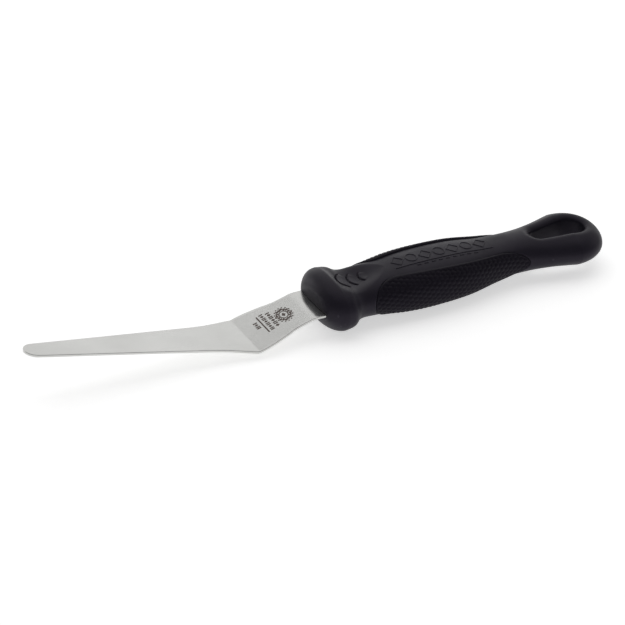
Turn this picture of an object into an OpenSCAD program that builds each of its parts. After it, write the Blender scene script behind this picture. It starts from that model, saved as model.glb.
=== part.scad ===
// Small cranked palette knife: one strip of stainless sheet moulded into a black two-material handle.
// +X runs along the handle towards the butt, +Y across it and +Z up. The origin is the middle of the
// overall length, on the surface that the knife lies on.

/* [Blade] */
// Thickness of the sheet
sheet_t = 0.9; // [0.6:0.1:1.5]
// Length of the working blade, from the crank to the tip
blade_len = 80; // [60:1:110]
// Width at the crank, where the sheet is widest
crank_w = 22.6; // [18:0.2:26]
// Width where the flare of the crank runs out into the taper
root_w = 16.2; // [12:0.2:18]
// Width just before the rounded tip
tip_w = 8.2; // [5:0.2:12]
// Tilt of the working blade, up from the handle's axis
blade_tilt = 11.4; // [0:0.2:20]
// Fall of the neck, down from the handle's axis
neck_fall = 15.8; // [5:0.2:25]
// Width of the neck where it enters the handle
neck_w = 18.6; // [14:0.2:20]
// Distance from the handle's face to the crank
neck_len = 25.5; // [20:0.5:35]

/* [Tang] */
// Length of the tang inside the handle
tang_len = 60; // [45:1:65]
// Width of the tang at the front of the core
tang_w = 12.6; // [9:0.2:14]
// Width of the tang at its rear end
tang_end_w = 7.2; // [5:0.2:9]
// Diameter of the three keying holes
key_d = 3.6; // [2:0.2:4.5]

/* [Handle] */
// Length of the handle, from the edge of its face to the butt
handle_len = 108; // [104:0.5:115]
// Width of the bolster
bolster_w = 30; // [27:0.5:34]
// Height of the bolster
bolster_h = 17.4; // [16:0.2:20]
// Width of the belly
belly_w = 26.6; // [24:0.2:30]
// Height of the belly
belly_h = 17; // [15:0.2:17.4]
// Width of the butt
butt_w = 27; // [24:0.2:30]
// Height of the butt
butt_h = 13.4; // [11:0.2:15]

/* [Thumb rest] */
// Depth of the scooped thumb rests
scoop_d = 2.2; // [0.5:0.1:2.6]
// Depth of the crescent grooves in them
groove_d = 0.6; // [0.3:0.1:1]

/* [Grip panels] */
// How far the panels stand proud of the plain strips
panel_proud = 0.95; // [0.3:0.05:1.1]
// Thickness of a panel
panel_t = 1.8; // [1.2:0.1:2.2]

/* [Hang hole] */
// Radius of the narrow front end
hole_tip_r = 2.9; // [1.5:0.1:3.5]
// Radius of the wide rear end
hole_end_r = 5; // [4:0.1:6]

/* [Hidden] */
eps = 0.01;

// Colours of the steel, the smooth moulding, the textured panels and the hidden core
steel = [0.77, 0.77, 0.75];
smooth_black = [0.14, 0.13, 0.16];
grip_black = [0.09, 0.08, 0.11];
core_grey = [0.30, 0.30, 0.32];

// ---- Small functions ----

// Smooth step from 0 to 1 as x goes from a to b
function ease(x, a, b) = let (t = min(max((x - a) / (b - a), 0), 1)) t * t * (3 - 2 * t);

// Round end of exponent p: 1 at u = 0, falling to 0 at u = 1
function cap(u, p) = pow(max(1 - pow(min(max(u, 0), 1), p), 0), 1 / p);

// Signed power, for superellipses
function spow(a, p) = sign(a) * pow(abs(a), p);

// Smooth curve through the rows of a table: column k as a function of column 0
function row_at(t, x, i = 0) = (i >= len(t) - 2 || x < t[i + 1][0]) ? i : row_at(t, x, i + 1);
function slope(t, i, k) =
    let (a = max(i - 1, 0), b = min(i + 1, len(t) - 1))
    (t[b][k] - t[a][k]) / (t[b][0] - t[a][0]);
function curve(t, x, k) =
    let (
        i = row_at(t, x),
        h = t[i + 1][0] - t[i][0],
        u = (x - t[i][0]) / h
    )
    (2 * u * u * u - 3 * u * u + 1) * t[i][k]
    + (u * u * u - 2 * u * u + u) * h * slope(t, i, k)
    + (3 * u * u - 2 * u * u * u) * t[i + 1][k]
    + (u * u * u - u * u) * h * slope(t, i + 1, k);

// Even steps from a to b
function steps(a, b, n) = [for (i = [0:n]) a + (b - a) * i / n];

// ---- Handle form: x is measured from the edge of the handle's face ----

face_x = -0.2;
bolster_x = 6;
belly_x = 41;
butt_x = 95;
front_cap_len = 7.9;
front_cap_p = 2;
rear_cap_p = 2.2;

// Rows along the handle: x, half width, half height, squareness of the section
form = [
    [bolster_x, bolster_w / 2, bolster_h / 2, 2.3],
    [9, bolster_w / 2 - 0.5, bolster_h / 2 - 0.6, 2.3],
    [11.8, 12.25, 7.35, 2.1],
    [15, 11.45, 7.1, 2.1],
    [21, 11.9, 7.6, 2.2],
    [31, belly_w / 2 - 0.2, belly_h / 2 - 0.1, 2.4],
    [belly_x, belly_w / 2, belly_h / 2, 2.5],
    [54, belly_w / 2 - 0.9, belly_h / 2 - 0.4, 2.5],
    [66, 9.8, 7, 2.4],
    [75.5, 8.7, 6.4, 2.2],
    [85, 10.8, 6.3, 2],
    [butt_x, butt_w / 2, butt_h / 2, 2]
];

// The two ends are round caps on the first and last rows. The front one is cut off at the face, by
// the first station of skin_x.
function end_scale(x) =
    x < bolster_x ? cap((bolster_x - x) / front_cap_len, front_cap_p)
    : x > butt_x ? cap((x - butt_x) / (handle_len - butt_x), rear_cap_p)
    : 1;
function form_x(x) = min(max(x, bolster_x), butt_x);
function half_w(x) = curve(form, form_x(x), 1) * end_scale(x);
function half_h(x) = curve(form, form_x(x), 2) * end_scale(x);
function squareness(x) = curve(form, form_x(x), 3);

// Plain strips lie lower than the panels between these places along the handle
function strip_drop(x) = panel_proud * ease(x, 14, 20) * (1 - ease(x, 68, 78));

// Scooped thumb rests, above and below: full width behind the bolster, narrowing to a point further back
scoop_x0 = bolster_x;
scoop_x1 = 27;
scoop_half_w = 9.4;
function scoop_edge(x) = scoop_half_w * cap((x - 10) / 16, 1.6);
function scoop(x, y) =
    scoop_d * ease(x, scoop_x0, scoop_x0 + 4) * (1 - ease(x, scoop_x1 - 12, scoop_x1))
    * pow(max(0, 1 - pow(y / max(scoop_edge(x), eps), 2)), 1.5);

// One point of the plain handle's skin at station x and angle a round the section
function skin_point(x, a) =
    let (
        w = max(half_w(x) - strip_drop(x), eps),
        h = max(half_h(x) - strip_drop(x), eps),
        p = 2 / squareness(x),
        y = w * spow(cos(a), p),
        z = h * spow(sin(a), p)
    )
    [x, y, z - sign(z) * scoop(x, y)];

// Stations: close together on the round ends and in the thumb rest
skin_x = concat(
    [for (u = steps(0, 1, 6)) face_x + (bolster_x - face_x) * u * u * (2 - u)],
    steps(7, 23, 12),
    steps(26, 80, 14),
    steps(83.5, butt_x, 4),
    [for (u = steps(0.15, 0.985, 6)) butt_x + (handle_len - butt_x) * sin(90 * u)]
);
skin_sides = 40;

// Closed solid through rings of equal size
module loft(rings) {
    n = len(rings[0]);
    last = len(rings) - 1;
    walls = [
        for (i = [0:last - 1], j = [0:n - 1])
            let (k = (j + 1) % n, a = i * n, b = (i + 1) * n)
            each [[a + j, a + k, b + k], [a + j, b + k, b + j]]
    ];
    polyhedron(
        points = [for (ring = rings) each ring],
        faces = concat(
            walls,
            [[for (j = [n - 1:-1:0]) j]],
            [[for (j = [0:n - 1]) last * n + j]]
        )
    );
}

module handle_form() {
    loft([
        for (x = skin_x)
            [for (j = [0:skin_sides - 1]) skin_point(x, -360 * j / skin_sides)]
    ]);
}

// ---- Placing: the knife lies on its bolster and belly ----

crank_z = -6.3;
tip_reach = blade_len * cos(blade_tilt);
tip_x = -neck_len - tip_reach;
middle_x = (tip_x + handle_len) / 2;
rest_z = bolster_h / 2;

module place() {
    translate([-middle_x, 0, rest_z]) children();
}

// ---- Blade ----

tang_z = -0.3;
bend_r = 9;
crank_r = 2;
shoulder_x = 0.4;
shoulder_len = 3.2;
tip_cap_len = 4.3;
key_x = [16, 32, 48];

// Side view of the sheet's middle line, from the tang's rear end to the tip. The neck leaves the
// handle on a gentle bend and meets the working blade at the sharp crank.
bend_run = bend_r * sin(neck_fall);
bend_drop = bend_r * (1 - cos(neck_fall));
bend_x = -neck_len - (crank_z - tang_z + bend_drop) / tan(neck_fall) + bend_run;
crank_turn = neck_fall + blade_tilt;
crank_back = crank_r * tan(crank_turn / 2);
function crank_point(a) =
    let (
        c = [
            -neck_len + crank_back * cos(neck_fall) - crank_r * sin(neck_fall),
            crank_z + crank_back * sin(neck_fall) + crank_r * cos(neck_fall)
        ]
    )
    [c[0] + crank_r * sin(a), c[1] - crank_r * cos(a), a];
side_line = concat(
    [[tang_len, tang_z, 0]],
    [
        for (a = steps(0, neck_fall, 6))
            [bend_x - bend_r * sin(a), tang_z - bend_r * (1 - cos(a)), a]
    ],
    [for (a = steps(neck_fall, -blade_tilt, 5)) crank_point(a)],
    [[tip_x, crank_z + blade_len * sin(blade_tilt), -blade_tilt]]
);

// Rows of x, z and slope become the outline of a sheet of even thickness
function sheet_side(side) =
    [for (p = side_line) [p[0] - side * sin(p[2]) * sheet_t / 2, p[1] + side * cos(p[2]) * sheet_t / 2]];
function reversed(v) = [for (i = [len(v) - 1:-1:0]) v[i]];

module sheet_profile() {
    rotate([90, 0, 0])
        linear_extrude(height = crank_w + 4, center = true)
            polygon(concat(sheet_side(1), reversed(sheet_side(-1))));
}

// Plan of the sheet: rows of x and half width, from the start of the rounded tip to the handle
plan_rows = [
    [tip_x + tip_cap_len, tip_w / 2],
    [-neck_len - 17.5, root_w / 2],
    [-neck_len - 11, root_w / 2 + 0.75],
    [-neck_len - 5.5, crank_w / 2 - 1.25],
    [-neck_len - 0.3, crank_w / 2 - 0.05],
    [-neck_len + 4, crank_w / 2],
    [-neck_len + 10, (crank_w + neck_w) / 4 + 0.05],
    [-10.5, neck_w / 2],
    [shoulder_x, neck_w / 2]
];
tip_half = [
    for (a = steps(0, 80, 8))
        [tip_x + tip_cap_len * (1 - cos(a)), tip_w / 2 * sin(a)]
];
blade_half = [
    for (x = concat([tip_x + tip_cap_len, tip_x + 30], steps(-neck_len - 17.5, shoulder_x, 28)))
        [x, curve(plan_rows, x, 1)]
];
shoulder_half = [
    for (a = steps(15, 90, 5))
        [
            shoulder_x + shoulder_len * sin(a),
            neck_w / 2 - (neck_w - tang_w) / 2 * (1 - cos(a))
        ]
];
tang_half = [[tang_len - 2, tang_end_w / 2], [tang_len, tang_end_w / 2 - 2]];
plan_half = concat(tip_half, blade_half, shoulder_half, tang_half);

module sheet_plan() {
    mirrored = [for (p = reversed(plan_half)) if (p[1] > 0) [p[0], -p[1]]];
    translate([0, 0, -30])
        linear_extrude(height = 60)
            polygon(concat(plan_half, mirrored));
}

module blade_solid() {
    difference() {
        intersection() {
            sheet_profile();
            sheet_plan();
        }
        for (x = key_x)
            translate([x, 0, tang_z])
                cylinder(h = 4 * sheet_t, d = key_d, center = true, $fn = 48);
    }
}

module blade() {
    color(steel) place() blade_solid();
}

// ---- Core: rigid moulding that clasps the tang and keys the outer moulding ----

core_front = 5;
core_rear = 71;
core_h = 6.6;
rib_t = 2;
rib_out = 0.8;
rib_x = [26, 38, 50, 62];
core_front_w = 15;
core_rear_w = 9.4;

module core_slab(grow) {
    linear_extrude(height = core_h + 2 * grow, center = true)
        polygon([
            [core_front, core_front_w / 2 + grow],
            [core_rear, core_rear_w / 2 + grow],
            [core_rear, -core_rear_w / 2 - grow],
            [core_front, -core_front_w / 2 - grow]
        ]);
}

module core_solid() {
    core_slab(0);
    for (x = rib_x)
        intersection() {
            core_slab(rib_out);
            translate([x - rib_t / 2, -belly_w / 2, -belly_h / 2])
                cube([rib_t, belly_w, belly_h]);
        }
}

module handle_core() {
    color(core_grey)
        place()
            difference() {
                core_solid();
                blade_solid();
            }
}

// ---- Grip panels: inlaid on the two edges of the handle ----

panel_x0 = 17.4;
panel_x1 = 77.5;
panel_round_front = 10.6;
panel_round_rear = 11.5;
panel_rows = 32;
panel_cols = 8;
panel_tip_u = 0.985;

// Half height of a panel's outline, seen from the side
function panel_edge(x) =
    half_h(x) * (0.905 - 0.135 * ease(x, 16, 76))
    * cap((panel_x0 + panel_round_front - x) / panel_round_front, 2.5)
    * cap((x - panel_x1 + panel_round_rear) / panel_round_rear, 2);

// Half width of the full section at height z
function skin_y(x, z) = half_w(x) * cap(abs(z) / half_h(x), squareness(x));

// Stations run from one rounded end to the other, closer together towards the ends
panel_xs = [
    for (i = [0:panel_rows])
        let (u = panel_tip_u * cos(180 * (1 - i / panel_rows)))
        (panel_x0 + panel_x1) / 2 + (panel_x1 - panel_x0) / 2 * u
];

// side is 1 on +Y and -1 on -Y; out moves the outer face outwards, for cutting the pocket
module panel_solid(side, out) {
    function layer(x, shift) = [
        for (j = [0:panel_cols])
            let (z = panel_edge(x) * (2 * j / panel_cols - 1))
            [x, side * (skin_y(x, z) + shift), z]
    ];
    rings = [for (x = panel_xs) concat(layer(x, out), reversed(layer(x, -panel_t)))];
    if (side > 0)
        loft([for (ring = rings) reversed(ring)]);
    else
        loft(rings);
}

module grip_panel_left() {
    color(grip_black) place() panel_solid(1, 0);
}

module grip_panel_right() {
    color(grip_black) place() panel_solid(-1, 0);
}

// ---- Outer moulding ----

hole_tip_x = 85.1;
hole_end_x = 97.2;
rim_round = 3.6;
rim_start = 30;
rim_drop = 1.1;
hole_turn = asin((hole_end_r - hole_tip_r) / (hole_end_x - hole_tip_x));

// Teardrop of the hang hole, grown by g: two arcs joined by their common tangents
function teardrop(g) = concat(
    [
        for (a = steps(90 + hole_turn, 270 - hole_turn, 10))
            [hole_tip_x + (hole_tip_r + g) * cos(a), (hole_tip_r + g) * sin(a)]
    ],
    [
        for (a = steps(-90 - hole_turn, 90 + hole_turn, 22))
            [hole_end_x + (hole_end_r + g) * cos(a), (hole_end_r + g) * sin(a)]
    ]
);

// Through hole: true arcs at both ends and flat tangent walls between them
module hole_wall() {
    linear_extrude(height = 2 * butt_h, center = true) {
        translate([hole_tip_x, 0]) circle(r = hole_tip_r, $fn = 64);
        translate([hole_end_x, 0]) circle(r = hole_end_r, $fn = 64);
        polygon([
            for (s = [1, -1], end = [[hole_tip_x, hole_tip_r], [hole_end_x, hole_end_r]])
                let (e = s > 0 ? end : end[0] == hole_tip_x ? [hole_end_x, hole_end_r] : [hole_tip_x, hole_tip_r])
                [e[0] - e[1] * sin(hole_turn), s * e[1] * cos(hole_turn)]
        ]);
    }
}

// Rounded rim of the hole, above or below: the round starts part of the way round, so it meets the
// wall of the hole in an edge
module hole_rim(side) {
    rim_z = butt_h / 2 - rim_drop;
    function grown(a) = teardrop(rim_round * (cos(rim_start) - cos(a)) + eps);
    rings = [
        for (a = steps(rim_start, 80, 4))
            [for (p = grown(a)) [p[0], p[1], side * (rim_z - rim_round * (1 - sin(a)))]]
    ];
    top = [for (p = grown(80)) [p[0], p[1], side * (rim_z + 3)]];
    if (side > 0)
        loft([for (ring = concat(rings, [top])) reversed(ring)]);
    else
        loft(concat(rings, [top]));
}

// One crescent groove: x of its middle, radius, half angle, and the height of the scoop there
crescents = [[8.55, 5.5, 58, 5.9], [12.65, 5.2, 50, 5], [16.8, 4.8, 36, 4.7]];
groove_w = 0.9;
module crescent(c) {
    function arc(r) = [
        for (a = steps(180 - c[2], 180 + c[2], 10))
            [c[0] + c[1] + r * cos(a), r * sin(a)]
    ];
    for (side = [1, -1])
        translate([0, 0, side > 0 ? c[3] - groove_d : -c[3] + groove_d - 4])
            linear_extrude(height = 4)
                polygon(concat(arc(c[1]), reversed(arc(c[1] - groove_w))));
}

module handle_shell() {
    color(smooth_black)
        place()
            difference() {
                handle_form();
                core_solid();
                blade_solid();
                panel_solid(1, 3);
                panel_solid(-1, 3);
                hole_wall();
                hole_rim(1);
                hole_rim(-1);
                for (c = crescents) crescent(c);
            }
}

blade();
handle_core();
handle_shell();
grip_panel_left();
grip_panel_right();
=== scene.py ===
"""Looks of a small cranked palette knife: satin steel blade, moulded black handle, textured grips.

Lengths are in millimetres in the handle's own coordinates, with x measured from the edge of the
handle's face, until to_row() turns them into the frame's metres.
"""

import math

import bmesh
import bpy
import numpy as np
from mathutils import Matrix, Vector


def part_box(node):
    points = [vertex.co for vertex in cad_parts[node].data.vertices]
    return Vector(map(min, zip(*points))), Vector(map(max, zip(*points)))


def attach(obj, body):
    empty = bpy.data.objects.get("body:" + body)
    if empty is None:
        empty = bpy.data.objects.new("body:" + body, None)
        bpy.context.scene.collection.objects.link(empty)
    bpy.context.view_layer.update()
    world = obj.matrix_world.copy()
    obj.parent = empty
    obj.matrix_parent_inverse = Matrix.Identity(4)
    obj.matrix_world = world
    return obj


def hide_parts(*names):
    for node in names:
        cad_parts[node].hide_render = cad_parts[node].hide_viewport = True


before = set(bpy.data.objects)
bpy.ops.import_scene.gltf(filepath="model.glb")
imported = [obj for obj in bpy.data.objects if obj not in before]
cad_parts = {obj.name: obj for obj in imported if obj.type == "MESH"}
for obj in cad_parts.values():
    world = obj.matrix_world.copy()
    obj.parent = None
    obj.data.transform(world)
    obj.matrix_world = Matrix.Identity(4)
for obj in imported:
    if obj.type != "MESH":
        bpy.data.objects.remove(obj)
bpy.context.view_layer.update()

MM = 0.001

# ---------------------------------------------------------------- places, taken from the frame

HANDLE_LEN = 108.0
shell_low, shell_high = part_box("handle_shell")
ORIGIN = np.array([shell_high.x / MM - HANDLE_LEN, 0.0, (shell_low.z + shell_high.z) / 2 / MM])


def to_row(points):
    """Handle coordinates in millimetres to the row frame in metres."""
    return (np.asarray(points, float) + ORIGIN) * MM


# ---------------------------------------------------------------- small functions


def ease(x, a, b):
    """Smooth step from 0 at a to 1 at b."""
    t = np.clip((x - a) / (b - a), 0, 1)
    return t * t * (3 - 2 * t)


def cap(u, p):
    """Round end of exponent p: 1 at u = 0, falling to 0 at u = 1."""
    return np.maximum(1 - np.clip(u, 0, 1) ** p, 0) ** (1 / p)


def curve(rows, x, k):
    """Smooth curve through column k of the rows, as a function of column 0."""
    rows = np.asarray(rows, float)
    xs, ys = rows[:, 0], rows[:, k]
    before = np.maximum(np.arange(len(xs)) - 1, 0)
    after = np.minimum(np.arange(len(xs)) + 1, len(xs) - 1)
    slopes = (ys[after] - ys[before]) / (xs[after] - xs[before])
    i = np.clip(np.searchsorted(xs, x, side="right") - 1, 0, len(xs) - 2)
    h = xs[i + 1] - xs[i]
    u = (x - xs[i]) / h
    return (
        (2 * u**3 - 3 * u**2 + 1) * ys[i]
        + (u**3 - 2 * u**2 + u) * h * slopes[i]
        + (3 * u**2 - 2 * u**3) * ys[i + 1]
        + (u**3 - u**2) * h * slopes[i + 1]
    )


def round_and(a, b, r):
    """Intersection of two distances, with the edge between them rounded to radius r."""
    corner = np.hypot(np.maximum(a + r, 0), np.maximum(b + r, 0))
    return np.minimum(np.maximum(a, b), -r) + corner


def slope_of(value, *at):
    """Length of the gradient of value() at a place."""
    step = 0.02
    here = value(*at)
    total = 0
    for i in range(len(at)):
        moved = [c + step if i == j else c for j, c in enumerate(at)]
        total = total + ((value(*moved) - here) / step) ** 2
    return here, np.sqrt(total)


# ---------------------------------------------------------------- the handle's form

BOLSTER_X, BUTT_X, FACE_X = 6.0, 95.0, -0.2
FRONT_CAP, LOWER_CAP, FRONT_P, REAR_P = 7.9, 7.3, 2.0, 2.2

# x, half width, half height and squareness of the section
FORM = [
    [BOLSTER_X, 15.0, 8.7, 2.3],
    [9, 14.5, 8.1, 2.3],
    [11.8, 12.25, 7.35, 2.1],
    [15, 11.45, 7.1, 2.1],
    [21, 11.9, 7.6, 2.2],
    [31, 13.1, 8.4, 2.4],
    [41, 13.3, 8.5, 2.5],
    [54, 12.4, 8.1, 2.5],
    [66, 9.8, 7.0, 2.4],
    [75.5, 8.7, 6.4, 2.2],
    [85, 10.8, 6.3, 2.0],
    [BUTT_X, 13.8, 6.9, 2.0],
]

# The strips sink from DROP_FROM to DROP_FULL and rise again from RISE_FROM to RISE_FULL
PANEL_PROUD = 0.95
DROP_FROM, DROP_FULL, RISE_FROM, RISE_FULL = 15, 29, 60, 78
POCKET_D = 1.7
PANEL_X0, PANEL_X1 = 17.4, 77.5
PANEL_FRONT, PANEL_REAR = 10.6, 11.5

# Thumb rest: depth, rear end and half width, and where it starts to narrow and over what length
SCOOP_D, SCOOP_X1, SCOOP_HALF_W = 2.2, 27.0, 9.4
SCOOP_NARROW_X, SCOOP_NARROW_LEN = 10, 16

# Teardrop of the hang hole, the radius of its rim, and how far the round stops short of the wall
HOLE_TIP_X, HOLE_TIP_R = 85.5, 3.2
HOLE_END_X, HOLE_END_R = 97.4, 5.3
HOLE_RIM, RIM_SHORT = 3.6, 0.4

# Crescent steps of the thumb rest: x of the middle, radius and half angle in degrees
CRESCENTS = [(8.55, 5.5, 62), (12.65, 5.2, 52), (16.8, 4.8, 38)]
GROOVE_D, GROOVE_W, STEP_H = 0.5, 0.26, 0.24

MIN_SLOPE = 0.02


def form_at(x):
    """Half width, half height and squareness at station x, without the round ends."""
    fx = np.clip(x, BOLSTER_X, BUTT_X)
    return curve(FORM, fx, 1), curve(FORM, fx, 2), curve(FORM, fx, 3)


def strip_drop(x):
    """How far the plain strips lie below the panels."""
    return PANEL_PROUD * ease(x, DROP_FROM, DROP_FULL) * (1 - ease(x, RISE_FROM, RISE_FULL))


def panel_reach(x):
    """Height of a panel's outline as a share of the section's half height."""
    return 0.905 - 0.135 * ease(x, 16, 76)


def scoop(x, y):
    """Depth of the thumb rest."""
    edge = SCOOP_HALF_W * cap((x - SCOOP_NARROW_X) / SCOOP_NARROW_LEN, 1.6)
    across = np.maximum(1 - (y / np.maximum(edge, 0.01)) ** 2, 0) ** 1.5
    along = ease(x, BOLSTER_X - 0.6, BOLSTER_X + 3.4) * (1 - ease(x, SCOOP_X1 - 12, SCOOP_X1))
    return SCOOP_D * along * across


def section_radius(x, y, z, drop):
    """1 on the handle's skin, less inside: a superellipse with round caps at both ends."""
    w, h, n = form_at(x)
    r = ((np.abs(y) / (w - drop)) ** n + (np.abs(z) / (h - drop)) ** n) ** (1 / n)
    cap_len = FRONT_CAP + (LOWER_CAP - FRONT_CAP) * ease(-z, 0.5, 4.5)
    front = np.maximum((BOLSTER_X - x) / cap_len, 0)
    rear = np.maximum((x - BUTT_X) / (HANDLE_LEN - BUTT_X), 0)
    p = np.where(x < (BOLSTER_X + BUTT_X) / 2, FRONT_P, REAR_P)
    return (r**p + (front + rear) ** p) ** (1 / p)


def full_skin(x, y, z):
    """Distance to the skin at the panels' height."""
    value, slope = slope_of(lambda a, b, c: section_radius(a, b, c, 0.0), x, y, z)
    return (value - 1) / np.maximum(slope, MIN_SLOPE)


def shell_skin(x, y, z):
    """Distance to the skin of the smooth moulding, with its thumb rests."""

    def radius(a, b, c):
        return section_radius(a, b, c + np.sign(c) * scoop(a, b), strip_drop(a))

    value, slope = slope_of(radius, x, y, z)
    return (value - 1) / np.maximum(slope, MIN_SLOPE)


def panel_outline(x, z):
    """Distance to a panel's outline, seen from the side; negative inside."""

    def value(a, c):
        edge = form_at(a)[1] * panel_reach(a)
        front = np.maximum((PANEL_X0 + PANEL_FRONT - a) / PANEL_FRONT, 0)
        rear = np.maximum((a - PANEL_X1 + PANEL_REAR) / PANEL_REAR, 0)
        p = np.where(a < 45, 2.5, 2.0)
        return ((np.abs(c) / edge) ** p + (front + rear) ** p) ** (1 / p)

    v, slope = slope_of(value, x, z)
    return (v - 1) / np.maximum(slope, MIN_SLOPE)


def panel_pocket(x, y, z):
    """Distance to the recess that a panel lies in, its walls square to the skin; negative inside."""
    skin = full_skin(x, y, z)
    w, h, n = form_at(x)
    ny = (np.minimum(np.abs(y) / w, 1.2) + 1e-6) ** (n - 1) / w
    nz = (np.minimum(np.abs(z) / h, 1.2) + 1e-6) ** (n - 1) / h
    reached = np.abs(z) - skin * nz / np.hypot(ny, nz)
    middle = 3.0 - np.abs(y)
    return np.maximum(np.maximum(panel_outline(x, reached), -(skin + POCKET_D)), middle)


def hole_outline(x, y):
    """Distance to the teardrop of the hang hole, in plan; negative inside."""
    run = HOLE_END_X - HOLE_TIP_X
    b = (HOLE_TIP_R - HOLE_END_R) / run
    a = math.sqrt(1 - b * b)
    px, py = x - HOLE_TIP_X, np.abs(y)
    k = -b * py + a * px
    tip = np.hypot(px, py) - HOLE_TIP_R
    end = np.hypot(px - run, py) - HOLE_END_R
    side = a * py + b * px - HOLE_TIP_R
    return np.where(k < 0, tip, np.where(k > a * run, end, side))


def crescent_cut(x, y):
    """Depth of the crescent steps: a narrow groove with a raised lip behind it that fades away."""
    depth = 0
    for mid_x, radius, half_angle in CRESCENTS:
        cx = mid_x + radius
        behind = radius - np.hypot(x - cx, y)
        angle = np.degrees(np.arctan2(np.abs(y), cx - x))
        ends = 1 - ease(angle, half_angle - 14, half_angle + 4)
        groove = np.exp(-((behind / GROOVE_W) ** 2))
        lip = ease(behind, 0.15, 0.5) * (1 - ease(behind, 0.5, 2.8))
        depth = depth + ends * (GROOVE_D * groove - STEP_H * lip)
    return depth


# ---------------------------------------------------------------- the blade's form

SHEET_T = 0.9
# A tenth of a millimetre shorter than in CAD, so that the tilted end stays inside the CAD's box
BLADE_LEN = 79.9
BLADE_TILT, NECK_FALL = math.radians(11.4), math.radians(15.8)
NECK_LEN, CRANK_Z, CRANK_R = 25.5, -6.3, 2.0
TANG_LEN, TANG_Z, BEND_R = 60.0, -0.3, 9.0
TIP_X = -NECK_LEN - BLADE_LEN * math.cos(BLADE_TILT)
TIP_CAP = 4.3
SHOULDER_X, SHOULDER_LEN = 0.4, 3.2
TANG_HALF, TANG_END_HALF = 6.3, 3.6

# Clearance of the handle's slot round the neck, above and below and at the edges, and its depth
SLOT_GAP, SLOT_SIDE_GAP, SLOT_DEEP = 0.06, 0.12, 3.4

# x and half width of the sheet, seen from above
PLAN = [
    [TIP_X + TIP_CAP, 4.1],
    [-NECK_LEN - 17.5, 8.1],
    [-NECK_LEN - 11, 8.85],
    [-NECK_LEN - 5.5, 10.05],
    [-NECK_LEN - 0.3, 11.25],
    [-NECK_LEN + 4, 11.3],
    [-NECK_LEN + 10, 10.35],
    [-10.5, 9.3],
    [SHOULDER_X, 9.3],
]


def blade_half_width(x):
    """Half width of the sheet at x, from the tip to the tang's end."""
    w = curve(PLAN, np.clip(x, TIP_X + TIP_CAP, SHOULDER_X), 1)
    w = w * cap((TIP_X + TIP_CAP - x) / TIP_CAP, 2)
    neck_half = PLAN[-1][1]
    tang_x = SHOULDER_X + SHOULDER_LEN
    shoulder = (neck_half - TANG_HALF) * (1 - cap((x - SHOULDER_X) / SHOULDER_LEN, 2))
    tang = TANG_HALF - (TANG_HALF - TANG_END_HALF) * (x - tang_x) / (TANG_LEN - tang_x)
    return np.where(x < tang_x, w - shoulder, tang)


def blade_line():
    """Middle line of the sheet from the side: rows of x, z and slope, from the tang to the tip."""
    drop = BEND_R * (1 - math.cos(NECK_FALL))
    bend_x = -NECK_LEN - (CRANK_Z - TANG_Z + drop) / math.tan(NECK_FALL) + BEND_R * math.sin(NECK_FALL)
    back = CRANK_R * math.tan((NECK_FALL + BLADE_TILT) / 2)
    cx = -NECK_LEN + back * math.cos(NECK_FALL) - CRANK_R * math.sin(NECK_FALL)
    cz = CRANK_Z + back * math.sin(NECK_FALL) + CRANK_R * math.cos(NECK_FALL)
    rows = [(TANG_LEN, TANG_Z, 0.0)]
    rows += [
        (bend_x - BEND_R * math.sin(a), TANG_Z - BEND_R * (1 - math.cos(a)), a)
        for a in np.linspace(0, NECK_FALL, 13)
    ]
    rows += [
        (cx + CRANK_R * math.sin(a), cz - CRANK_R * math.cos(a), a)
        for a in np.linspace(NECK_FALL, -BLADE_TILT, 15)
    ]
    rows.append((TIP_X, CRANK_Z + BLADE_LEN * math.sin(BLADE_TILT), -BLADE_TILT))
    return np.array(rows)


LINE = blade_line()


def line_at(x):
    """z and slope of the sheet's middle line at x."""
    order = np.argsort(LINE[:, 0])
    return np.interp(x, LINE[order, 0], LINE[order, 1]), np.interp(x, LINE[order, 0], LINE[order, 2])


def slot_distance(x, y, z):
    """Distance to the mouth that the blade's neck comes out of; negative inside."""
    thick = np.abs(z - TANG_Z) - SHEET_T / 2 - SLOT_GAP
    wide = np.abs(y) - blade_half_width(np.clip(x, -8, 4)) - SLOT_SIDE_GAP
    deep = x - SLOT_DEEP
    return np.maximum(np.maximum(thick, wide), deep)


def plain_distance(x, y, z, cut=0.0):
    """Distance to the surface of the outer moulding, with its skin cut back by a depth."""
    d = shell_skin(x, y, z) + cut
    bulge = 0.004 * (y**2 + z**2)
    d = round_and(d, FACE_X - 0.3 + bulge - x, 0.4)
    d = round_and(d, -slot_distance(x, y, z), 0.22)
    hole = hole_outline(x, y)
    d = round_and(d, -hole - RIM_SHORT, HOLE_RIM)
    d = round_and(d, -hole, 0.2)
    return round_and(d, -panel_pocket(x, y, z), 0.15)


def shell_distance(x, y, z):
    """Distance to the surface of the outer moulding, with its crescent steps."""
    return plain_distance(x, y, z, crescent_cut(x, y))


# ---------------------------------------------------------------- mesh helpers


def make_mesh(name, verts, faces):
    """A smooth-shaded mesh object from handle coordinates."""
    mesh = bpy.data.meshes.new(name)
    mesh.from_pydata(to_row(verts).tolist(), [], [list(map(int, f)) for f in faces])
    mesh.polygons.foreach_set("use_smooth", [True] * len(mesh.polygons))
    mesh.validate()
    mesh.update()
    obj = bpy.data.objects.new(name, mesh)
    bpy.context.scene.collection.objects.link(obj)
    return obj


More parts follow.
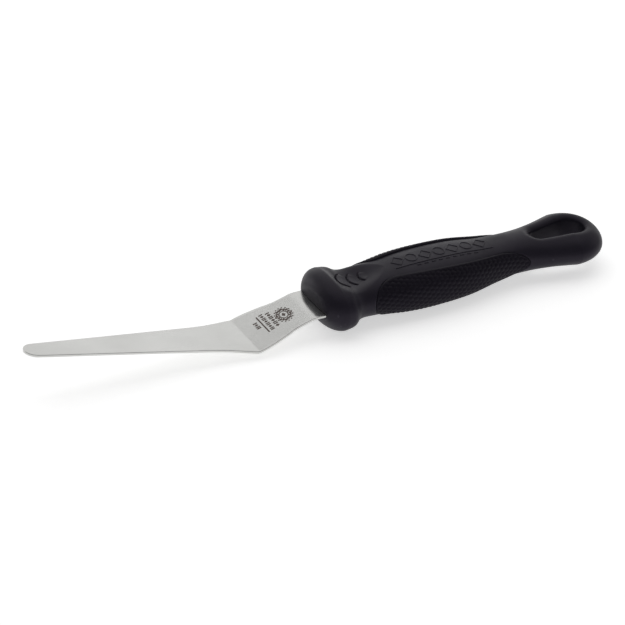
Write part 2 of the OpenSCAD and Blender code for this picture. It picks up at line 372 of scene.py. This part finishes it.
def surface_net(distance, low, high, cell):
    """Vertices and quads of the surface where distance(x, y, z) is 0, one vertex to a cell."""
    axes = [np.arange(a, b + cell, cell) for a, b in zip(low, high)]
    grid = np.meshgrid(*axes, indexing="ij", sparse=True)
    v = np.broadcast_to(distance(*grid), [len(a) for a in axes])
    inside = v < 0
    shape = [n - 1 for n in v.shape]
    corners = [(i, j, k) for i in (0, 1) for j in (0, 1) for k in (0, 1)]
    count = sum(
        inside[i:i + shape[0], j:j + shape[1], k:k + shape[2]].astype(np.int8) for i, j, k in corners
    )
    active = (count > 0) & (count < 8)
    index = np.full(shape, -1)
    index[active] = np.arange(active.sum())
    cells = np.argwhere(active)

    total = np.zeros((len(cells), 3))
    hits = np.zeros((len(cells), 1))
    for a in corners:
        for axis in range(3):
            if a[axis]:
                continue
            b = tuple(1 if i == axis else c for i, c in enumerate(a))
            va, vb = v[tuple((cells + a).T)], v[tuple((cells + b).T)]
            cross = (va < 0) != (vb < 0)
            t = va[cross] / (va[cross] - vb[cross])
            point = (cells[cross] + a).astype(float)
            point[:, axis] += t
            total[cross] += point
            hits[cross] += 1
    verts = np.array(low) + cell * total / hits

    quads = []
    for axis in range(3):
        p, q = (axis + 1) % 3, (axis + 2) % 3
        near = [slice(1, -1)] * 3
        far = [slice(1, -1)] * 3
        near[axis], far[axis] = slice(0, -1), slice(1, None)
        here, there = inside[tuple(near)], inside[tuple(far)]
        nodes = np.argwhere(here != there)
        solid = here[tuple(nodes.T)]
        first = np.ones(3, int)
        first[axis] = 0
        nodes = nodes + first
        ring = []
        for dp, dq in ((0, 0), (-1, 0), (-1, -1), (0, -1)):
            shifted = nodes.copy()
            shifted[:, p] += dp
            shifted[:, q] += dq
            ring.append(index[tuple(shifted.T)])
        ring = np.stack(ring, 1)
        ring[~solid] = ring[~solid][:, ::-1]
        quads.append(ring)
    return verts, np.concatenate(quads)


def settle(verts, distance, rounds=3):
    """Moves each vertex onto the surface where distance() is 0."""
    step = 0.01
    for _ in range(rounds):
        x, y, z = verts.T
        d = distance(x, y, z)
        g = np.stack([
            distance(x + step, y, z) - distance(x - step, y, z),
            distance(x, y + step, z) - distance(x, y - step, z),
            distance(x, y, z + step) - distance(x, y, z - step),
        ], 1) / (2 * step)
        length = np.maximum((g * g).sum(1), 0.25)
        move = (d / length)[:, None] * g
        far = np.maximum(np.linalg.norm(move, axis=1) / 0.2, 1)
        verts = verts - move / far[:, None]
    return verts


def refine(verts, faces, where, cuts):
    """Splits the edges of the faces whose middles pass where(); returns vertices and faces."""
    mesh = bpy.data.meshes.new("refine")
    mesh.from_pydata(verts.tolist(), [], [list(map(int, f)) for f in faces])
    bm = bmesh.new()
    bm.from_mesh(mesh)
    bpy.data.meshes.remove(mesh)
    edges = {e for f in bm.faces if where(f.calc_center_median()) for e in f.edges}
    bmesh.ops.subdivide_edges(bm, edges=list(edges), cuts=cuts, use_grid_fill=True)
    bm.verts.index_update()
    points = np.array([v.co for v in bm.verts])
    split = [[v.index for v in f.verts] for f in bm.faces]
    bm.free()
    return points, split


def in_thumb_rest(p):
    """Whether a point lies where the crescents need a finer mesh."""
    return 6.5 < p.x < 21.5 and abs(p.y) < 6.6 and 3.5 < abs(p.z) < 8.4


def grid_faces(rows, cols, closed=False):
    """Quads of a grid of rows by cols vertices; closed joins the last column to the first."""
    last = cols if closed else cols - 1
    i, j = np.meshgrid(np.arange(rows - 1), np.arange(last), indexing="ij")
    k = (j + 1) % cols
    return np.stack([i * cols + j, i * cols + k, (i + 1) * cols + k, (i + 1) * cols + j], -1).reshape(-1, 4)


# ---------------------------------------------------------------- pieces


def build_shell():
    """The outer moulding: a mesh of its plain form, made finer and cut at the crescents."""
    cell = 0.3
    low = (FACE_X - 1.5, -15.6, -9.3)
    high = (HANDLE_LEN + 0.6, 15.6, 9.3)
    verts, quads = surface_net(plain_distance, low, high, cell)
    verts = settle(verts, plain_distance)
    verts, faces = refine(verts, quads, in_thumb_rest, 2)
    verts = settle(verts, shell_distance, 6)
    return make_mesh("handle_moulding", verts, faces)


# Domes on the grips: spacing, height, turn of the pattern, and their radius as a share of the spacing
DOME_PITCH, DOME_H, DOME_TURN, DOME_R = 1.85, 0.3, math.radians(15), 0.56


def hex_distance(x, y, pitch, turn):
    """Distance to the nearest point of a hexagonal lattice turned by an angle."""
    u = x * math.cos(turn) + y * math.sin(turn)
    v = y * math.cos(turn) - x * math.sin(turn)
    row = pitch * math.sqrt(3)
    best = np.inf
    for shift in (0.0, 0.5):
        du = (u / pitch - shift) - np.round(u / pitch - shift)
        dv = (v / row - shift) - np.round(v / row - shift)
        best = np.minimum(best, np.hypot(du * pitch, dv * row))
    return best


def build_panel(name, side):
    """One grip panel: a fine grid on the skin, domed, with a soft edge and a closed back."""
    rows, cols = ((420, 150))
    u = np.linspace(0, 1, rows)
    ends = 0.5 - 0.5 * np.cos(np.pi * u)
    x = PANEL_X0 + 0.06 + (PANEL_X1 - PANEL_X0 - 0.12) * (0.8 * u + 0.2 * ends)
    w, h, n = form_at(x)
    edge = h * panel_reach(x)
    edge = edge * cap((PANEL_X0 + PANEL_FRONT - x) / PANEL_FRONT, 2.5)
    edge = edge * cap((x - PANEL_X1 + PANEL_REAR) / PANEL_REAR, 2) - 0.02

    # Even spacing along the skin, from the lower edge to the upper one
    fine = np.linspace(-1, 1, 241)
    z = edge[:, None] * fine
    y = w[:, None] * (1 - (np.abs(z) / h[:, None]) ** n[:, None]) ** (1 / n[:, None])
    run = np.hypot(np.diff(z, axis=1), np.diff(y, axis=1))
    arc = np.concatenate([np.zeros((rows, 1)), np.cumsum(run, axis=1)], axis=1)
    s = np.linspace(0, 1, cols)
    zz = np.array([np.interp(s * a[-1], a, row) for a, row in zip(arc, z)])
    girth = np.array([(s - 0.5) * a[-1] for a in arc])
    xx = np.repeat(x[:, None], cols, 1)
    yy = w[:, None] * (1 - (np.abs(zz) / h[:, None]) ** n[:, None]) ** (1 / n[:, None])

    # Outward normals of the superellipse
    ny = (np.maximum(yy, 0.01) / w[:, None]) ** (n[:, None] - 1) / w[:, None]
    nz = np.sign(zz) * (np.abs(zz) / h[:, None]) ** (n[:, None] - 1) / h[:, None]
    size = np.hypot(ny, nz)
    ny, nz = ny / size, nz / size

    inset = -panel_outline(xx, zz)
    rim = 0.3 * (1 - ease(inset, 0.0, 0.5)) ** 2
    centre_distance = hex_distance(xx, -girth, DOME_PITCH, DOME_TURN)
    dome = np.maximum(1 - (centre_distance / (DOME_R * DOME_PITCH)) ** 2, 0)
    knurl = DOME_H * (1 - dome) * ease(inset, 0.3, 0.9)
    depth = rim + knurl
    outer = np.stack([xx, side * (yy - depth * ny), zz - depth * nz], -1)
    under = POCKET_D - 0.04
    back = np.stack([xx, side * (yy - under * ny), zz - under * nz], -1)

    loop = np.concatenate([outer, back[:, ::-1]], axis=1)
    faces = grid_faces(rows, 2 * cols, closed=True)
    ends = [list(range(2 * cols))[::-1], [(rows - 1) * 2 * cols + j for j in range(2 * cols)]]
    faces = [list(f) for f in faces] + ends
    if side < 0:
        faces = [f[::-1] for f in faces]
    return make_mesh(name, loop.reshape(-1, 3), faces)


def build_blade():
    """The sheet, swept along its middle line with rounded edges."""
    xs = [
        np.linspace(TANG_LEN, 4.2, 24),
        SHOULDER_X + SHOULDER_LEN * np.sin(np.linspace(math.pi / 2, 0, 16)),
        np.linspace(0.2, -NECK_LEN + 1.2, 60),
        np.linspace(-NECK_LEN + 1.1, -NECK_LEN - 1.1, 26),
        np.linspace(-NECK_LEN - 1.2, TIP_X + TIP_CAP, 150),
        TIP_X + TIP_CAP - TIP_CAP * np.sin(np.linspace(0.05, 1, 30) * math.pi / 2),
    ]
    xs = np.concatenate(xs)
    z, slope = line_at(xs)
    half = np.maximum(blade_half_width(xs), 0.02)
    round_r = np.minimum(0.22, half * 0.9)
    t = SHEET_T / 2
    quarter = np.linspace(0, math.pi / 2, 5)
    across = np.linspace(-1, 1, 25)
    rings = []
    for x, zc, a, w, r in zip(xs, z, slope, half, round_r):
        flat = across * (w - r)
        top = [(y, t) for y in flat]
        right = [(w - r + r * math.sin(q), t - r + r * math.cos(q)) for q in quarter[1:]]
        right += [(w - r + r * math.cos(q), -t + r - r * math.sin(q)) for q in quarter[:-1]]
        bottom = [(y, -t) for y in flat[::-1]]
        left = [(-y, -s) for y, s in right]
        ring = [(x - s * math.sin(a), y, zc + s * math.cos(a)) for y, s in top + right + bottom + left]
        rings.append(ring)
    rings = np.array(rings)
    rows, cols = rings.shape[:2]
    faces = [list(f) for f in grid_faces(rows, cols, closed=True)]
    faces.append(list(range(cols))[::-1])
    faces.append([(rows - 1) * cols + j for j in range(cols)])
    return make_mesh("steel_blade", rings.reshape(-1, 3), faces)


# Middle of the etched rosette, and how far the etching reaches above and below the blade's face
ROSETTE_AT = (-10.9, 0.4)
ETCH_UP, ETCH_DOWN = 0.012, 0.05


def top_of_blade(x, y, lift):
    """Points on the blade's upper face."""
    z, slope = line_at(x)
    out = SHEET_T / 2 + lift
    return np.stack([x - out * np.sin(slope), y, z + out * np.cos(slope)], -1)


def bar(x0, y0, x1, y1, width):
    """Flat bar from one point to another, as a polygon."""
    along = np.array([x1 - x0, y1 - y0], float)
    side = np.array([-along[1], along[0]]) / np.linalg.norm(along) * width / 2
    a, b = np.array([x0, y0]), np.array([x1, y1])
    return [a - side, b - side, b + side, a + side]


def lozenge(cx, cy, rx, ry, turn=0.0):
    """Four-cornered leaf about a centre, turned by an angle."""
    c, s = math.cos(turn), math.sin(turn)
    corners = [(rx, 0), (0, ry), (-rx, 0), (0, -ry)]
    return [np.array([cx + u * c - v * s, cy + u * s + v * c]) for u, v in corners]


def oval_band(cx, cy, rx, ry, width, turns=40):
    """Flat oval ring let into the blade: vertices and faces of one closed solid."""
    q = np.linspace(0, 2 * math.pi, turns, endpoint=False)
    inner = (cx + rx * np.cos(q), cy + ry * np.sin(q))
    outer = (cx + (rx + width) * np.cos(q), cy + (ry + width) * np.sin(q))
    rings = [
        top_of_blade(*outer, ETCH_UP), top_of_blade(*outer, -ETCH_DOWN),
        top_of_blade(*inner, -ETCH_DOWN), top_of_blade(*inner, ETCH_UP),
    ]
    i, j = np.meshgrid(np.arange(turns), np.arange(4), indexing="ij")
    k, m = (i + 1) % turns, (j + 1) % 4
    faces = np.stack([4 * i + j, 4 * i + m, 4 * k + m, 4 * k + j], -1).reshape(-1, 4)
    return np.stack(rings, 1).reshape(-1, 3), faces.tolist()


def rosette(cx, cy):
    """Generic oval rosette: a lozenge in the middle, with leaves and dots all round."""
    shapes = [lozenge(cx, cy, 0.7, 1.15)]
    for i in range(16):
        a = 2 * math.pi * (i + 0.5) / 16
        rx, ry = (2.25, 3.15) if i % 2 else (2.05, 2.85)
        shapes.append(lozenge(cx + rx * math.cos(a), cy + ry * math.sin(a), 0.72, 0.6, a))
    for i in range(16):
        a = 2 * math.pi * i / 16
        shapes.append(lozenge(cx + 2.8 * math.cos(a), cy + 4.05 * math.sin(a), 0.34, 0.44))
    return shapes


def bar_row(x, tall, y, pattern):
    """Row of bars and leaves across the neck, from y towards the near edge."""
    shapes = []
    for i, wide in enumerate(pattern):
        y -= wide / 2
        if i % 3 == 1:
            shapes.append(lozenge(x, y, tall / 2, wide / 2))
        else:
            shapes.append(bar(x - tall / 2, y, x + tall / 2, y, wide * 0.95))
        y -= wide / 2 + 0.22
    return shapes


def build_etching():
    """Generic etched ornament on the neck: a rosette, two rows of bars, a line and a short row."""
    shapes = rosette(*ROSETTE_AT)
    shapes += bar_row(-14.75, 1.5, 5.4, [0.65, 1.4, 0.65, 0.65, 1.5, 0.65, 0.65, 1.45])
    shapes += bar_row(-16.85, 1.4, 6.2, [0.65, 1.3, 0.65, 0.6, 1.3, 0.6, 0.65, 1.3, 0.65, 0.6])
    shapes.append(bar(-18.4, 5.9, -18.4, -4.4, 0.5))
    shapes += bar_row(-20.1, 1.5, 3.5, [0.7, 1.2, 0.6, 0.7])
    verts, faces = [], []
    for shape in shapes:
        pts = np.array(shape)
        area = np.cross(pts[1] - pts[0], pts[2] - pts[0])
        pts = pts if area > 0 else pts[::-1]
        faces.append([len(verts) + i for i in range(len(pts))])
        verts += [tuple(p) for p in pts]
    flat = np.array(verts)
    count = len(flat)
    solid = np.concatenate([
        top_of_blade(flat[:, 0], flat[:, 1], ETCH_UP),
        top_of_blade(flat[:, 0], flat[:, 1], -ETCH_DOWN),
    ])
    sides = []
    for f in faces:
        sides.append([i + count for i in f][::-1])
        for i, j in zip(f, f[1:] + f[:1]):
            sides.append([j, i, i + count, j + count])
    band, band_faces = oval_band(*ROSETTE_AT, 1.2, 1.75, 0.42)
    faces += sides + [[2 * count + i for i in f] for f in band_faces]
    obj = make_mesh("etched_ornament", np.concatenate([solid, band]), faces)
    obj.data.polygons.foreach_set("use_smooth", [False] * len(obj.data.polygons))
    return obj


def strip_top(x, y):
    """Height of the upper plain strip."""
    w, h, n = form_at(x)
    drop = strip_drop(x)
    r = np.minimum(np.abs(y) / (w - drop), 0.99)
    return (h - drop) * (1 - r**n) ** (1 / n) - scoop(x, y)


def raised_line(points, closed, half_width, height):
    """Half-round bead along points on the upper strip: vertices and faces."""
    pts = np.array(points, float)
    count = len(pts)
    ahead = np.roll(pts, -1, 0) - pts
    behind = pts - np.roll(pts, 1, 0)
    if not closed:
        ahead[-1], behind[0] = behind[-1], ahead[0]
    unit = ahead / np.linalg.norm(ahead, axis=1)[:, None] + behind / np.linalg.norm(behind, axis=1)[:, None]
    unit /= np.linalg.norm(unit, axis=1)[:, None]
    side = np.stack([-unit[:, 1], unit[:, 0]], 1)
    profile = [(-1, -0.6), (-0.8, 0.45), (-0.35, 0.95), (0.35, 0.95), (0.8, 0.45), (1, -0.6)]
    rings = []
    for u, v in profile:
        p = pts + side * u * half_width
        rings.append(np.stack([p[:, 0], p[:, 1], strip_top(p[:, 0], p[:, 1]) + v * height], 1))
    rings = np.stack(rings, 1)
    cols = len(profile)
    faces = [list(f) for f in grid_faces(count, cols, closed=True)]
    if closed:
        faces += [
            [(count - 1) * cols + j, (count - 1) * cols + (j + 1) % cols, (j + 1) % cols, j]
            for j in range(cols)
        ]
    else:
        faces += [list(range(cols))[::-1], [(count - 1) * cols + j for j in range(cols)]]
    return rings.reshape(-1, 3), faces


def polygon_path(corners, spacing=0.35):
    """Closed outline through the corners, with points close enough to follow the handle."""
    path = []
    for a, b in zip(corners, corners[1:] + corners[:1]):
        a, b = np.array(a, float), np.array(b, float)
        steps = max(int(np.linalg.norm(b - a) / spacing), 1)
        path += [tuple(a + (b - a) * i / steps) for i in range(steps)]
    return path


def build_motif():
    """Generic raised band on the strip: a chain of lozenges and ovals over a line and dashes."""
    lines = []
    mid_y, pitch = 0.8, 5.2
    for i in range(7):
        x = 31.5 + pitch * i
        angles = np.linspace(0, 2 * math.pi, 32, endpoint=False)
        if i % 2 == 0:
            corners = [(x - 2.3, mid_y), (x, mid_y - 2.8), (x + 2.3, mid_y), (x, mid_y + 2.8)]
            lines.append((polygon_path(corners), True))
        else:
            lines.append(([(x + 1.9 * math.cos(a), mid_y + 2.4 * math.sin(a)) for a in angles], True))
    line_y, dash_y, dash_len = -3.2, -4.4, 1.5
    lines.append(([(x, line_y) for x in np.linspace(29, 66, 90)], False))
    for i in range(9):
        x = 36.5 + 2.7 * i
        lines.append(([(a, dash_y) for a in np.linspace(x, x + dash_len, 5)], False))
    verts, faces = [], []
    for points, closed in lines:
        v, f = raised_line(points, closed, 0.24, 0.2)
        faces += [[len(verts) + i for i in face[::-1]] for face in f]
        verts += v.tolist()
    return make_mesh("strip_motif", verts, faces)


# ---------------------------------------------------------------- materials


class Nodes:
    """Short way to add and join shader nodes in one material."""

    def __init__(self, name):
        self.material = bpy.data.materials.new(name)
        self.material.use_nodes = True
        self.tree = self.material.node_tree
        self.shader = self.tree.nodes["Principled BSDF"]
        self.where = self.add("ShaderNodeTexCoord").outputs["Object"]

    def add(self, kind, **settings):
        node = self.tree.nodes.new(kind)
        for key, value in settings.items():
            setattr(node, key, value)
        return node

    def join(self, out, into):
        self.tree.links.new(out, into)

    def stretched(self, scale):
        mapping = self.add("ShaderNodeMapping")
        mapping.inputs["Scale"].default_value = scale
        self.join(self.where, mapping.inputs["Vector"])
        return mapping.outputs["Vector"]

    def noise(self, scale, detail=3.0, where=None, roughness=0.5):
        node = self.add("ShaderNodeTexNoise")
        node.inputs["Scale"].default_value = scale
        node.inputs["Detail"].default_value = detail
        node.inputs["Roughness"].default_value = roughness
        self.join(where or self.where, node.inputs["Vector"])
        return node.outputs["Fac"]

    def ramp(self, fac, low, high, start=0.3, end=0.7):
        node = self.add("ShaderNodeValToRGB")
        node.color_ramp.elements[0].position = start
        node.color_ramp.elements[1].position = end
        node.color_ramp.elements[0].color = low
        node.color_ramp.elements[1].color = high
        self.join(fac, node.inputs["Fac"])
        return node.outputs["Color"]

    def spread(self, fac, low, high, start=0.3, end=0.7):
        node = self.add("ShaderNodeMapRange")
        node.inputs["From Min"].default_value = start
        node.inputs["From Max"].default_value = end
        node.inputs["To Min"].default_value = low
        node.inputs["To Max"].default_value = high
        self.join(fac, node.inputs["Value"])
        return node.outputs["Result"]

    def mix(self, a, b, fac, mode="MIX"):
        node = self.add("ShaderNodeMix", data_type="RGBA", blend_type=mode)
        self.join(a, node.inputs["A"])
        self.join(b, node.inputs["B"])
        self.join(fac, node.inputs["Factor"])
        return node.outputs["Result"]

    def bump(self, height, strength, distance, under=None):
        node = self.add("ShaderNodeBump")
        node.inputs["Strength"].default_value = strength
        node.inputs["Distance"].default_value = distance
        self.join(height, node.inputs["Height"])
        if under is not None:
            self.join(under, node.inputs["Normal"])
        return node.outputs["Normal"]

    def edge_wear(self, start, end):
        geometry = self.add("ShaderNodeNewGeometry")
        return self.spread(geometry.outputs["Pointiness"], 0.0, 1.0, start, end)

    def set(self, **values):
        for key, value in values.items():
            self.shader.inputs[key.replace("_", " ")].default_value = value


def satin_steel():
    n = Nodes("satin_steel")
    grain = n.noise(1.0, 4.0, n.stretched((60, 5200, 900)), 0.6)
    cloud = n.noise(45.0, 3.0)
    speck = n.noise(1500.0, 2.0)
    base = n.ramp(cloud, (0.57, 0.57, 0.555, 1), (0.63, 0.63, 0.615, 1))
    streak = n.ramp(grain, (0.90, 0.90, 0.90, 1), (1.0, 1.0, 1.0, 1))
    n.join(n.mix(base, streak, n.spread(speck, 0.5, 0.9), "MULTIPLY"), n.shader.inputs["Base Color"])
    n.join(n.spread(grain, 0.17, 0.27), n.shader.inputs["Roughness"])
    n.join(n.bump(speck, 0.05, 0.00003, n.bump(grain, 0.12, 0.00003)), n.shader.inputs["Normal"])
    n.set(Metallic=1.0, Anisotropic=0.35)
    return n.material


def etched_brown():
    n = Nodes("etched_brown")
    fleck = n.noise(2600.0, 3.0)
    n.join(n.ramp(fleck, (0.060, 0.042, 0.036, 1), (0.16, 0.125, 0.11, 1)), n.shader.inputs["Base Color"])
    n.join(n.spread(fleck, 0.45, 0.65), n.shader.inputs["Roughness"])
    n.join(n.bump(fleck, 0.3, 0.00003), n.shader.inputs["Normal"])
    n.set(Metallic=0.35)
    return n.material


def moulded_black():
    n = Nodes("moulded_black")
    cloud = n.noise(90.0, 4.0)
    grain = n.noise(2600.0, 2.0)
    peel = n.noise(520.0, 2.0)
    base = n.ramp(cloud, (0.0092, 0.0080, 0.0132, 1), (0.0132, 0.0116, 0.0186, 1))
    worn = n.ramp(cloud, (0.022, 0.020, 0.028, 1), (0.027, 0.025, 0.034, 1))
    n.join(n.mix(base, worn, n.edge_wear(0.53, 0.62)), n.shader.inputs["Base Color"])
    n.join(n.spread(n.noise(160.0, 3.0), 0.40, 0.50), n.shader.inputs["Roughness"])
    n.join(n.bump(grain, 0.16, 0.00005, n.bump(peel, 0.12, 0.0001)), n.shader.inputs["Normal"])
    n.set(Specular_IOR_Level=0.2, Specular_Tint=(0.93, 0.84, 1.0, 1))
    return n.material


def grip_rubber():
    n = Nodes("grip_rubber")
    cloud = n.noise(120.0, 3.0)
    grain = n.noise(3200.0, 2.0)
    base = n.ramp(cloud, (0.0050, 0.0042, 0.0076, 1), (0.0078, 0.0067, 0.0114, 1))
    worn = n.ramp(cloud, (0.015, 0.013, 0.020, 1), (0.021, 0.019, 0.027, 1))
    n.join(n.mix(base, worn, n.edge_wear(0.52, 0.62)), n.shader.inputs["Base Color"])
    n.join(n.spread(cloud, 0.50, 0.62), n.shader.inputs["Roughness"])
    n.join(n.bump(grain, 0.2, 0.00006), n.shader.inputs["Normal"])
    n.set(Specular_IOR_Level=0.13, Specular_Tint=(0.93, 0.84, 1.0, 1))
    return n.material


def core_plastic():
    n = Nodes("core_plastic")
    cloud = n.noise(140.0, 3.0)
    n.join(n.ramp(cloud, (0.07, 0.07, 0.075, 1), (0.10, 0.10, 0.105, 1)), n.shader.inputs["Base Color"])
    n.join(n.spread(cloud, 0.5, 0.65), n.shader.inputs["Roughness"])
    n.join(n.bump(n.noise(1500.0), 0.2, 0.0001), n.shader.inputs["Normal"])
    return n.material


def studio_floor():
    n = Nodes("studio_floor")
    pale = n.ramp(n.noise(6.0, 2.0), (0.90, 0.90, 0.90, 1), (0.92, 0.92, 0.92, 1))
    n.join(pale, n.shader.inputs["Base Color"])
    n.set(Roughness=0.9, Emission_Color=(1, 1, 1, 1), Emission_Strength=0.55)
    return n.material


# ---------------------------------------------------------------- stage, light and camera


def add_floor():
    size = 3.0
    mesh = bpy.data.meshes.new("studio_floor")
    corners = [(-size, -size, 0), (size, -size, 0), (size, size, 0), (-size, size, 0)]
    mesh.from_pydata(corners, [], [(0, 1, 2, 3)])
    floor = bpy.data.objects.new("studio_floor", mesh)
    bpy.context.scene.collection.objects.link(floor)
    mesh.materials.append(studio_floor())


def add_light(name, place, aim, size, power):
    """Rectangular area light at place, in metres, pointing at aim."""
    light = bpy.data.lights.new(name, "AREA")
    light.shape = "RECTANGLE"
    light.size, light.size_y = size
    light.energy = power
    obj = bpy.data.objects.new(name, light)
    obj.location = place
    obj.rotation_euler = (Vector(aim) - Vector(place)).to_track_quat("-Z", "Y").to_euler()
    bpy.context.scene.collection.objects.link(obj)


def add_world(strength):
    world = bpy.data.worlds.new("studio")
    bpy.context.scene.world = world
    world.use_nodes = True
    sky = world.node_tree.nodes["Background"]
    sky.inputs["Color"].default_value = (1, 1, 1, 1)
    sky.inputs["Strength"].default_value = strength


def add_camera():
    """Long lens, a little over a metre away, from the front left and above."""
    azimuth, elevation = math.radians(-26.7), math.radians(30.6)
    distance, lens = 1.2408, 215.65
    back = Vector((
        math.sin(azimuth) * math.cos(elevation),
        -math.cos(azimuth) * math.cos(elevation),
        math.sin(elevation),
    ))
    right = Vector((math.cos(azimuth), math.sin(azimuth), 0))
    face = Vector(to_row([0, 0, 0]))
    aim = face - right * 0.00046 - back.cross(right) * 0.00318
    data = bpy.data.cameras.new("camera")
    data.lens = lens
    data.sensor_width = 36
    data.clip_end = 10
    camera = bpy.data.objects.new("camera", data)
    camera.location = aim + back * distance
    camera.rotation_euler = back.to_track_quat("Z", "Y").to_euler()
    bpy.context.scene.collection.objects.link(camera)
    bpy.context.scene.camera = camera


# ---------------------------------------------------------------- assembly


def finish_piece(obj, material, slot, *replaced):
    obj.data.materials.clear()
    obj.data.materials.append(material)
    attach(obj, "root")
    if replaced:
        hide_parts(*replaced)


def main():
    steel, black, rubber = satin_steel(), moulded_black(), grip_rubber()
    finish_piece(build_blade(), steel, "steel", "blade")
    finish_piece(build_etching(), etched_brown(), "steel")
    finish_piece(build_shell(), black, "smooth_plastic", "handle_shell")
    finish_piece(build_motif(), black, "smooth_plastic")
    finish_piece(build_panel("grip_left", 1), rubber, "grip_rubber", "grip_panel_left")
    finish_piece(build_panel("grip_right", -1), rubber, "grip_rubber", "grip_panel_right")

    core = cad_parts["handle_core"]
    core.data.materials.clear()
    core.data.materials.append(core_plastic())

    add_floor()
    add_world(0.21)
    add_light("overhead", (0.1, 0.35, 1.1), (0, 0, 0), (1.8, 1.2), 5.3)
    add_light("backdrop", (0.85, 1.3, 0.6), (0.3, 0, 0.1), (2.2, 1.3), 7.0)
    add_light("side_card", (-0.55, 1.2, 0.28), (0, 0, 0), (0.5, 0.45), 1.8)
    add_light("right_card", (1.3, -0.1, 0.6), (0, 0, 0), (0.6, 0.6), 1.0)
    add_light("front_card", (-0.4, -1.2, 0.35), (0, 0, 0), (0.8, 0.4), 0.4)
    add_camera()
    bpy.context.scene.view_settings.view_transform = "Standard"


main()
